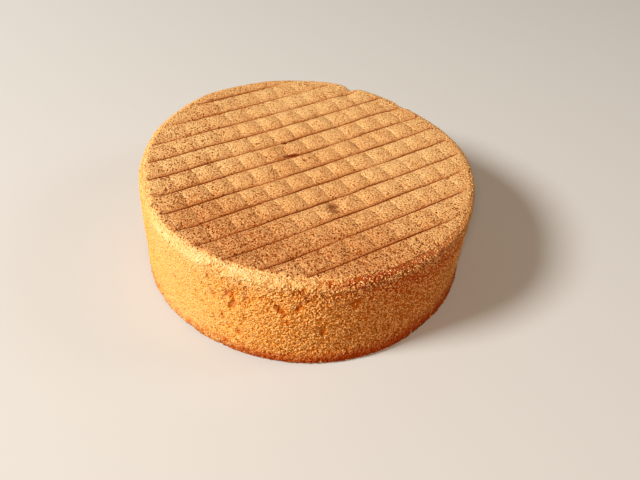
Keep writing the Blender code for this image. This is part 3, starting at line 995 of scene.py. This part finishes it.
def build_base(points, finish):
    """The closed base: the flat underside, the foot, and a level top inside the cake."""
    rows, columns = points.shape[:2]
    count = rows * columns
    ends = np.array([[0.0, 0.0, 0.0], [0.0, 0.0, points[-1, :, 2].mean()]])
    index = numbered(rows, columns)
    faces = [ring_faces(index), cap_faces(index[0], count, upward=False),
             cap_faces(index[-1], count + 1, upward=True)]
    extended = {key: np.concatenate([values.reshape(-1), [0.0, 0.0]])
                for key, values in finish.items()}
    return new_object("base", np.concatenate([points.reshape(-1, 3), ends]), faces, extended,
                      hidden=columns)


def build_crumb(shape, crumb):
    """The open crumb in four closed pieces that meet without a step: base, two sides and rim."""
    angle = np.linspace(0.0, 2.0 * math.pi, crumb.columns, endpoint=False)
    points, finish, (low, middle, high) = crumb_surface(shape, crumb, angle)

    def part(start, end):
        return points[start:end], {key: values[start:end] for key, values in finish.items()}

    return [build_base(*part(0, low + 1)),
            build_band("lower_side", *part(low, middle + 1), crumb.wall),
            build_band("upper_side", *part(middle, high + 1), crumb.wall),
            build_band("rim", *part(high, len(points)), crumb.wall)]


def build_loose_crumbs(shape, crumb):
    """Small crumbs that cling to the rim, the side and the foot.

    Each one is an ellipsoid on a grid of turns and rows, with its radius pushed in and
    out by noise, and sits half sunk at a random place of the smooth body.
    """
    random = np.random.default_rng(7)
    count = crumb.crumbs
    kind = random.random(count)
    rim = kind < 0.60
    foot = kind > 0.86
    front = random.random(count) < 0.70
    angle = np.where(rim & front, np.radians(random.normal(291.0, 22.0, count)),
                     random.random(count) * 2.0 * math.pi)
    side = ~rim & ~foot
    angle = np.where(side, np.radians(random.normal(280.0, 70.0, count)), angle)
    top = rim_height(shape, angle)
    turn = np.where(rim, np.clip(random.normal(0.15, 0.55, count), 0.0, 1.35), 0.0)
    out, up, outward, upward = rim_corner(shape, angle, turn)
    level = shape.rounding * (1.0 - up / shape.rounding)
    height = np.where(rim, top - level - (turn == 0.0) * random.exponential(3.5, count) * MM,
                      np.where(foot, (1.0 + random.exponential(2.2, count)) * MM,
                               (66.0 - 58.0 * random.random(count) ** 1.3) * MM))
    radius = side_radius(shape, angle, np.minimum(height, top - shape.rounding))
    radius = radius - shape.rounding + out
    size = crumb.crumb_size * np.exp(random.normal(-0.1, 0.38, count))
    normal = polar(outward, angle, upward)
    centre = polar(radius, angle, height)
    centre -= normal * (0.35 * size)[:, None]

    rows, columns = 6, 9
    tilt = np.linspace(0.0, math.pi, rows + 2)[1:-1]
    spin = np.linspace(0.0, 2.0 * math.pi, columns, endpoint=False)
    grid = polar(np.sin(tilt)[:, None], spin, np.cos(tilt)[:, None] + 0.0 * spin).reshape(-1, 3)
    ball = np.concatenate([grid, [[0.0, 0.0, 1.0], [0.0, 0.0, -1.0]]])
    frames = np.linalg.qr(random.normal(size=(count, 3, 3)))[0]
    frames *= np.sign(np.linalg.det(frames))[:, None, None]
    stretch = random.uniform(0.55, 1.35, (count, 1, 3))
    lumpy = ball[None] * stretch
    push = 1.0 + 0.62 * soft_noise(ball[None] + 40.0 * np.arange(count)[:, None, None], 0.7, 171)
    points = centre[:, None] + (lumpy * push[..., None] * size[:, None, None]) @ frames
    outside = np.hypot(points[..., 0], points[..., 1]) - (shape.foot_radius + FOOT_SPREAD)
    inward = np.clip(outside.max(axis=1), 0.0, None)
    points[..., :2] -= inward[:, None, None] * normal[:, None, :2]
    over = points[..., 2].max(axis=1) - (shape.height - LOOSE_GAP)
    points[..., 2] -= np.clip(over, 0.0, None)[:, None]
    under = BASE_GAP - points[..., 2].min(axis=1)
    points[..., 2] += np.clip(under, 0.0, None)[:, None]

    index = numbered(rows, columns)
    quads = np.roll(ring_faces(index)[:, ::-1], 1, axis=1)
    caps = np.concatenate([cap_faces(index[0], rows * columns, upward=True),
                           cap_faces(index[-1], rows * columns + 1, upward=False)])
    shift = (np.arange(count) * len(ball))[:, None, None]
    faces = [(quads[None] + shift).reshape(-1, 4), (caps[None] + shift).reshape(-1, 3)]
    tone = np.repeat(random.random(count), len(ball))
    return new_object("loose_crumbs", points.reshape(-1, 3), faces, {"tone": tone})


# ---- shader expressions

def two_way(operation):
    """An operator that adds a Math node, and its reflected form, as in 1 - wire."""
    return (lambda wire, other: wire.math(operation, wire, other),
            lambda wire, other: wire.math(operation, other, wire))


class Wire:
    """A shader socket in a Python expression: each operator on it adds a Math node."""

    def __init__(self, tree, socket=None):
        self.tree = tree
        self.socket = socket

    def node(self, kind, settings=None, inputs=None, output=0):
        """Adds a node, with its settings first and then the values or links of its sockets."""
        made = self.tree.nodes.new(kind)
        for name, value in (settings or {}).items():
            setattr(made, name, value)
        for key, value in (inputs or {}).items():
            if isinstance(value, Wire):
                self.tree.links.new(value.socket, made.inputs[key])
            else:
                made.inputs[key].default_value = value
        return Wire(self.tree, made.outputs[output])

    def math(self, operation, *values):
        """A Math node on these values."""
        return self.node("ShaderNodeMath", {"operation": operation}, dict(enumerate(values)))

    __add__, __radd__ = two_way("ADD")
    __sub__, __rsub__ = two_way("SUBTRACT")
    __mul__, __rmul__ = two_way("MULTIPLY")

    def clamp(self):
        """The value kept from 0 to 1."""
        return self.node("ShaderNodeClamp", {}, {"Value": self})

    def rise(self, low, high):
        """0 below low, 1 above high, smooth between them."""
        return self.node("ShaderNodeMapRange", {"interpolation_type": "SMOOTHSTEP"},
                         {"Value": self, "From Min": low, "From Max": high})

    def blend(self, under, over):
        """Mixes two colours, with this value as the share of the second."""
        settings = {"data_type": "RGBA", "clamp_factor": True}
        return self.node("ShaderNodeMix", settings, {0: self, 6: under, 7: over}, output=2)

    def attribute(self, name):
        """A value that the mesh carries at its points."""
        return self.node("ShaderNodeAttribute", {"attribute_name": name}, {}, output=2)

    def place(self):
        """Object coordinates."""
        return self.node("ShaderNodeTexCoord", {}, {}, output=3)

    def noise(self, size, detail=2.0, roughness=0.5):
        """Noise of this size in metres, from 0 to 1."""
        return self.node("ShaderNodeTexNoise", {"noise_dimensions": "3D"},
                         {"Vector": self.place(), "Scale": 1.0 / size, "Detail": detail,
                          "Roughness": roughness})

    def seeds(self, size, output):
        """Scattered seeds at this spacing in metres: output 0 is the distance, 1 a colour."""
        return self.node("ShaderNodeTexVoronoi", {"voronoi_dimensions": "3D", "feature": "F1"},
                         {"Vector": self.place(), "Scale": 1.0 / size}, output=output)

    def red(self):
        """The first channel of a colour."""
        return self.node("ShaderNodeSeparateColor", {}, {"Color": self})


def colour(value):
    """A colour with full alpha."""
    return (*value, 1.0)


def new_material(name):
    """A material with its Principled shader and a wire to build on."""
    material = bpy.data.materials.new(name)
    material.use_nodes = True
    surface = material.node_tree.nodes["Principled BSDF"]
    return material, surface, Wire(material.node_tree)


def coats(first, colours, layers):
    """One colour over another: each layer is its share and the name of its colour, or a wire."""
    tint = first
    for share, name in layers:
        over = colour(getattr(colours, name)) if isinstance(name, str) else name
        tint = share.blend(tint, over)
    return tint


def connect(surface, wire, name):
    """Links a wire to a socket of the surface shader."""
    wire.tree.links.new(wire.socket, surface.inputs[name])


def add_bump(surface, height, strength, distance):
    """Fine relief from a height wire."""
    inputs = {"Height": height, "Strength": strength, "Distance": distance}
    normal = height.node("ShaderNodeBump", {}, inputs)
    connect(surface, normal, "Normal")


def soft_inside(surface, weight):
    """Light that passes a little way through the sponge."""
    surface.inputs["Subsurface Weight"].default_value = weight
    surface.inputs["Subsurface Radius"].default_value = (1.0, 0.45, 0.16)
    surface.inputs["Subsurface Scale"].default_value = 1.5 * MM


def crust_material(colours):
    """Baked crust: tan cells with a painted highlight where they face the light and darker corners
    of painted shade, brown grooves deepened with painted shade, brown patches, fine pinholes.
    """
    material, surface, wire = new_material("printed_crust")
    broad = wire.noise(14 * MM, 3.0)
    mottle = wire.noise(3 * MM, 3.0, 0.6)
    fleck = wire.noise(1.05 * MM, 3.0, 0.7)
    grains = 1.0 - wire.seeds(1.1 * MM, 0)
    bake, edge, margin, groove, hole, cell, crest, corner, slope, crease, burnt, scar, pale = [
        wire.attribute(name) for name in (
            "bake", "edge", "margin", "long_groove", "hole", "cell", "crest", "corner", "slope",
            "cross_groove", "burnt", "scar", "pale")]

    # light: the crust's paler patches, plus the painted highlight on each cell
    light = (broad.rise(0.35, 0.68) * 0.4 + (mottle - 0.5) * 1.3 + (cell - 0.5) * 0.45
             + crest * 0.5 - bake * 0.6 + 0.12).clamp()
    brown = (bake * 0.8 + margin * 0.14 + (broad - 0.5) * 0.5 + (mottle - 0.5) * 0.8).clamp()
    shadow = (groove.rise(0.30, 0.85) * 0.95 + crease.rise(0.4, 1.0) * 0.3).clamp()

    # Pinholes: the nearest seed is kept or not by its own number
    kept = (wire.seeds(1.9 * MM, 1).red() - (0.94 - 0.46 * margin - 0.2 * bake)).rise(0.0, 0.03)
    away = wire.seeds(1.9 * MM, 0)
    pinhole = (1.0 - away.rise(0.18, 0.30)) * kept
    ring = hole.rise(0.02, 0.30) + (1.0 - away.rise(0.25, 0.46)) * kept
    hole = (hole.rise(0.15, 0.5) + pinhole).clamp()
    ragged = edge * pale + (mottle - 0.5) * 1.2 + (fleck - 0.5) * 0.9 - hole * 0.9
    dark = 1.0 - fleck

    tint = coats(colour(colours.crust), colours, (
        (light, "crust_light_and_highlight"),
        # Painted shade on the cell corners that face away from the light
        ((corner * 0.95).clamp(), "crust_corner_shade"),
        (brown, "baked_crust_and_shade"),
        (fleck.rise(0.42, 0.58) * (0.66 - 0.12 * margin), "crust_tip"),
        (dark.rise(0.515, 0.60) * (0.88 + 0.12 * margin), "baked_crust_and_shade"),
        (dark.rise(0.57, 0.65) * (0.25 + 0.50 * margin), "crust_dark"),
        # Painted shade on the near slope of each row, which faces away from the light
        (slope * 0.52, "baked_crust_and_shade"),
        # Painted shade down the walls of each groove, and on the next line along its bottom
        (groove.rise(0.02, 0.50) * 0.70, "baked_crust_and_shade"),
        (shadow, "crust_dark"),
        (burnt.rise(0.22, 1.15) * 0.78, "pit"),
        (scar.rise(0.12, 0.6), "scar"),
        (ring.clamp() * 0.75, "baked_crust_and_shade"),
        (hole * 0.95, "pit"),
        (ragged.rise(0.38, 0.85) * 0.92, "cream"),
        (ragged.rise(0.80, 1.40) * 0.55, "rubbed"),
        (dark.rise(0.56, 0.64) * edge * 0.75, "baked_crust_and_shade"),
    ))
    connect(surface, tint, "Base Color")
    connect(surface, 0.74 + 0.16 * mottle, "Roughness")
    surface.inputs["Specular IOR Level"].default_value = 0.05
    add_bump(surface, fleck * 1.0 + mottle * 0.5 + grains * 0.5 - pinhole * 0.9, 1.0, 0.85 * MM)
    return material


def crumb_material(colours):
    """Open crumb: golden grains with painted highlights on their tips and painted shade between
    them, orange pores and hollows of painted shade, a right side darkened with painted shade, cream
    along the rim, painted light on the left side, and a foot baked brown.
    """
    material, surface, wire = new_material("golden_crumb")
    level = wire.node("ShaderNodeSeparateXYZ", {}, {"Vector": wire.place()}, output=2)
    blotch = wire.noise(9 * MM, 3.0)
    mottle = wire.noise(3.6 * MM, 3.0, 0.6)
    fleck = wire.noise(0.95 * MM, 3.0, 0.7)
    tips = 1.0 - wire.seeds(1.1 * MM, 0)
    rough, pore, browned, torn, grain, hollow, shade, foot, skin, rubbed = [
        wire.attribute(name) for name in (
            "rough", "pore", "browned", "torn", "grain", "hollow", "shade", "foot", "skin",
            "rubbed")]

    # How far a grain stands out, with some random tone, and the two colours that follow it: a
    # painted highlight on the tips and painted shade between the grains
    stand = (grain - 0.45) * 0.7 + (tips - 0.55) * 1.0 + (fleck - 0.5) * 1.8
    stand = (stand * (0.14 + 1.60 * rough + 1.4 * browned)
             + (mottle - 0.5) * (0.5 + 0.8 * rough - 0.55 * browned))
    # deep: turns to the painted shade's brown on the right side and between the torn rim's clumps
    deep = (browned + torn * 0.4).clamp()
    deep = deep.blend(colour(colours.deep_crumb_and_shade), colour(colours.shaded_crumb_brown))
    # light: the grain tips' colour with its painted highlight, toned down on the side of painted
    # shade
    light = (browned * 0.72).blend(colour(colours.crumb_light_and_highlight), colour(colours.crumb_tan))

    # The foot's band reaches higher on the side of painted shade
    low = 1.0 - (level + (mottle - 0.5) * 12 * MM - browned * 4 * MM).rise(1 * MM, 14.5 * MM)
    cream = (rubbed + torn * (1.0 - browned) * 0.32 + (mottle - 0.5) * 1.1 + (fleck - 0.5) * 0.6
             + (blotch - 0.5) * 0.5 - pore * 0.9)
    specks = (1.0 - fleck).rise(0.56, 0.64) * cream.rise(0.3, 0.7) * rough.rise(0.1, 0.5)
    tint = coats(colour(colours.crumb), colours, (
        ((mottle + blotch).rise(1.02, 1.30) * (0.45 - 0.30 * browned), deep),
        # Painted shade over the right side, which faces away from the light
        (browned * 0.885, deep),
        # Painted highlight on the tips of the grains, and on the next line painted shade between
        # them
        ((stand - browned * 0.16).rise(-0.05, 0.48), light),
        ((0.0 - stand).rise(0.0, 0.42) * 0.95, deep),
        # Painted shade in the pores and tears
        (pore.rise(0.15, 0.75) * 0.85, deep),
        # Painted shade in the large hollows
        (hollow.rise(0.15, 0.70) * 0.92, "hollow"),
        ((shade * (1.1 + (mottle - 0.5) * 1.4)).clamp(), "crumb_shade"),
        # Painted highlight on the grains that stand out in the shade under the crust's edge
        (shade.rise(0.1, 0.6) * stand.rise(0.32, 0.65) * 0.75, "crumb_pink"),
        (low * foot, "foot"),
        ((skin * (0.75 + mottle * 0.4)).clamp(), "crust"),
        (cream.rise(0.08, 0.85) * 0.9, "cream"),
        # The palest crumb, on the rim and as painted light on the left side
        (cream.rise(0.65, 1.25) * 0.75, "rubbed"),
        (specks * 0.8, deep),
    ))
    connect(surface, tint, "Base Color")
    connect(surface, 0.80 + 0.12 * fleck, "Roughness")
    surface.inputs["Specular IOR Level"].default_value = 0.03
    soft_inside(surface, 0.08)
    add_bump(surface, tips * 0.8 + fleck * 1.0 + mottle * 0.4, 1.0, 1.25 * MM)
    return material


def loose_material(colours):
    """Loose crumbs: from golden to cream, with a fine grain."""
    material, surface, wire = new_material("loose_crumb")
    grain = wire.noise(0.5 * MM)
    tone = (wire.attribute("tone") * 0.9 + (grain - 0.5) * 0.8).clamp()
    connect(surface, tone.blend(colour(colours.crust), colour(colours.cream)), "Base Color")
    connect(surface, 0.8 + 0.1 * grain, "Roughness")
    surface.inputs["Specular IOR Level"].default_value = 0.03
    soft_inside(surface, 0.12)
    add_bump(surface, grain, 0.6, 0.3 * MM)
    return material


# ---- operators

class CAKE_OT_crumb(Operator):
    """Build the open crumb: base, side and rim"""
    bl_idname = "cake.crumb"
    bl_label = "Crumb"

    def execute(self, context):
        scene = context.scene
        material = crumb_material(scene.cake_colours)
        for piece in build_crumb(scene.cake_shape, scene.cake_crumb):
            place_piece(piece, material)
        return {"FINISHED"}


class CAKE_OT_loose(Operator):
    """Build the loose crumbs that cling to the cake"""
    bl_idname = "cake.loose"
    bl_label = "Loose crumbs"

    def execute(self, context):
        scene = context.scene
        piece = build_loose_crumbs(scene.cake_shape, scene.cake_crumb)
        place_piece(piece, loose_material(scene.cake_colours))
        return {"FINISHED"}


class CAKE_OT_crust(Operator):
    """Build the crust with the print of the rack"""
    bl_idname = "cake.crust"
    bl_label = "Crust"

    def execute(self, context):
        scene = context.scene
        piece = build_crust(scene.cake_shape, scene.cake_print)
        place_piece(piece, crust_material(scene.cake_colours))
        return {"FINISHED"}


def add_area_light(name, stage):
    """A round light that looks at the cake from its direction."""
    power, size, tint, azimuth, elevation = [getattr(stage, f"{name}_{key}") for key in (
        "power", "size", "colour", "azimuth", "elevation")]
    data = bpy.data.lights.new(name, "AREA")
    data.shape = "DISK"
    data.size = size
    data.energy = power
    data.color = tint
    towards = np.array([math.cos(elevation) * math.cos(azimuth),
                        math.cos(elevation) * math.sin(azimuth), math.sin(elevation)])
    side = np.cross([0.0, 0.0, 1.0], towards)
    side /= np.linalg.norm(side)
    turn = Matrix(np.column_stack([side, np.cross(towards, side), towards]).tolist()).to_4x4()
    light = bpy.data.objects.new(name, data)
    light.matrix_world = Matrix.Translation((towards * stage.light_distance + AIM).tolist()) @ turn
    bpy.context.scene.collection.objects.link(light)


def add_floor(stage):
    """A round pale floor at the cake's base, with a soft unevenness in its finish."""
    radii = np.array([0.3, 1.0, 3.0, 9.0])
    turns = np.linspace(0.0, 2.0 * math.pi, 96, endpoint=False)
    index = numbered(len(radii), len(turns))
    grid = polar(radii[:, None], turns, np.zeros(index.shape))
    points = np.concatenate([grid.reshape(-1, 3), [[0.0, 0.0, 0.0]]])
    points[:, 2] = CAD_BOX[0][2] - FLOOR_GAP
    faces = [ring_faces(index)[:, ::-1], cap_faces(index[0], index.size, upward=True)]
    floor = new_object("floor", points, faces, {})
    material, surface, wire = new_material("pale_floor")
    surface.inputs["Base Color"].default_value = colour(stage.floor)
    surface.inputs["Specular IOR Level"].default_value = 0.2
    connect(surface, 0.7 + 0.1 * wire.noise(60 * MM), "Roughness")
    floor.data.materials.append(material)


class CAKE_OT_stage(Operator):
    """Build the floor, the soft lights and the camera"""
    bl_idname = "cake.stage"
    bl_label = "Stage"

    def execute(self, context):
        scene = context.scene
        stage = scene.cake_stage
        add_floor(stage)
        for name in ("key", "fill", "edge"):
            add_area_light(name, stage)
        world = bpy.data.worlds.new("soft_room")
        world.use_nodes = True
        background = world.node_tree.nodes["Background"]
        background.inputs["Color"].default_value = colour(stage.ambient_colour)
        background.inputs["Strength"].default_value = stage.ambient
        scene.world = world
        scene.view_settings.view_transform = "Standard"

        data = bpy.data.cameras.new("camera")
        data.sensor_width = 36.0
        data.lens = stage.lens
        data.clip_start = 0.01
        camera = bpy.data.objects.new("camera", data)
        right = np.array(stage.camera_right)
        up = np.array(stage.camera_up)
        turn = Matrix(np.column_stack([right, up, np.cross(right, up)]).tolist()).to_4x4()
        camera.matrix_world = Matrix.Translation(stage.camera_place) @ turn
        scene.collection.objects.link(camera)
        scene.camera = camera
        return {"FINISHED"}


class CAKE_PT_panel(Panel):
    """Lists the settings and the operators"""
    bl_idname = "CAKE_PT_panel"
    bl_label = "Sponge Cake"
    bl_space_type = "VIEW_3D"
    bl_region_type = "UI"
    bl_category = "Sponge Cake"

    def draw(self, context):
        layout = self.layout
        for name in SETTINGS:
            box = layout.box()
            box.label(text=name.split("_")[1].capitalize())
            settings = getattr(context.scene, name)
            for key in settings.__annotations__:
                box.prop(settings, key)
        for operator in OPERATORS:
            layout.operator(operator.bl_idname)


SETTINGS = {"cake_shape": CakeShape, "cake_print": PrintShape, "cake_crumb": CrumbShape,
            "cake_colours": CakeColours, "cake_stage": StageSettings}
OPERATORS = (CAKE_OT_crumb, CAKE_OT_crust, CAKE_OT_loose, CAKE_OT_stage)


def register():
    """Adds the classes, and the settings to the scene."""
    for group in (*SETTINGS.values(), *OPERATORS, CAKE_PT_panel):
        bpy.utils.register_class(group)
    for name, group in SETTINGS.items():
        setattr(bpy.types.Scene, name, PointerProperty(type=group))


def unregister():
    """Takes the settings and the classes away again."""
    for name in SETTINGS:
        delattr(bpy.types.Scene, name)
    for group in reversed((*SETTINGS.values(), *OPERATORS, CAKE_PT_panel)):
        bpy.utils.unregister_class(group)


def main():
    """Builds every piece."""
    register()
    bpy.ops.cake.crumb()
    bpy.ops.cake.crust()
    bpy.ops.cake.loose()
    bpy.ops.cake.stage()


if __name__ == "__main__":
    main()
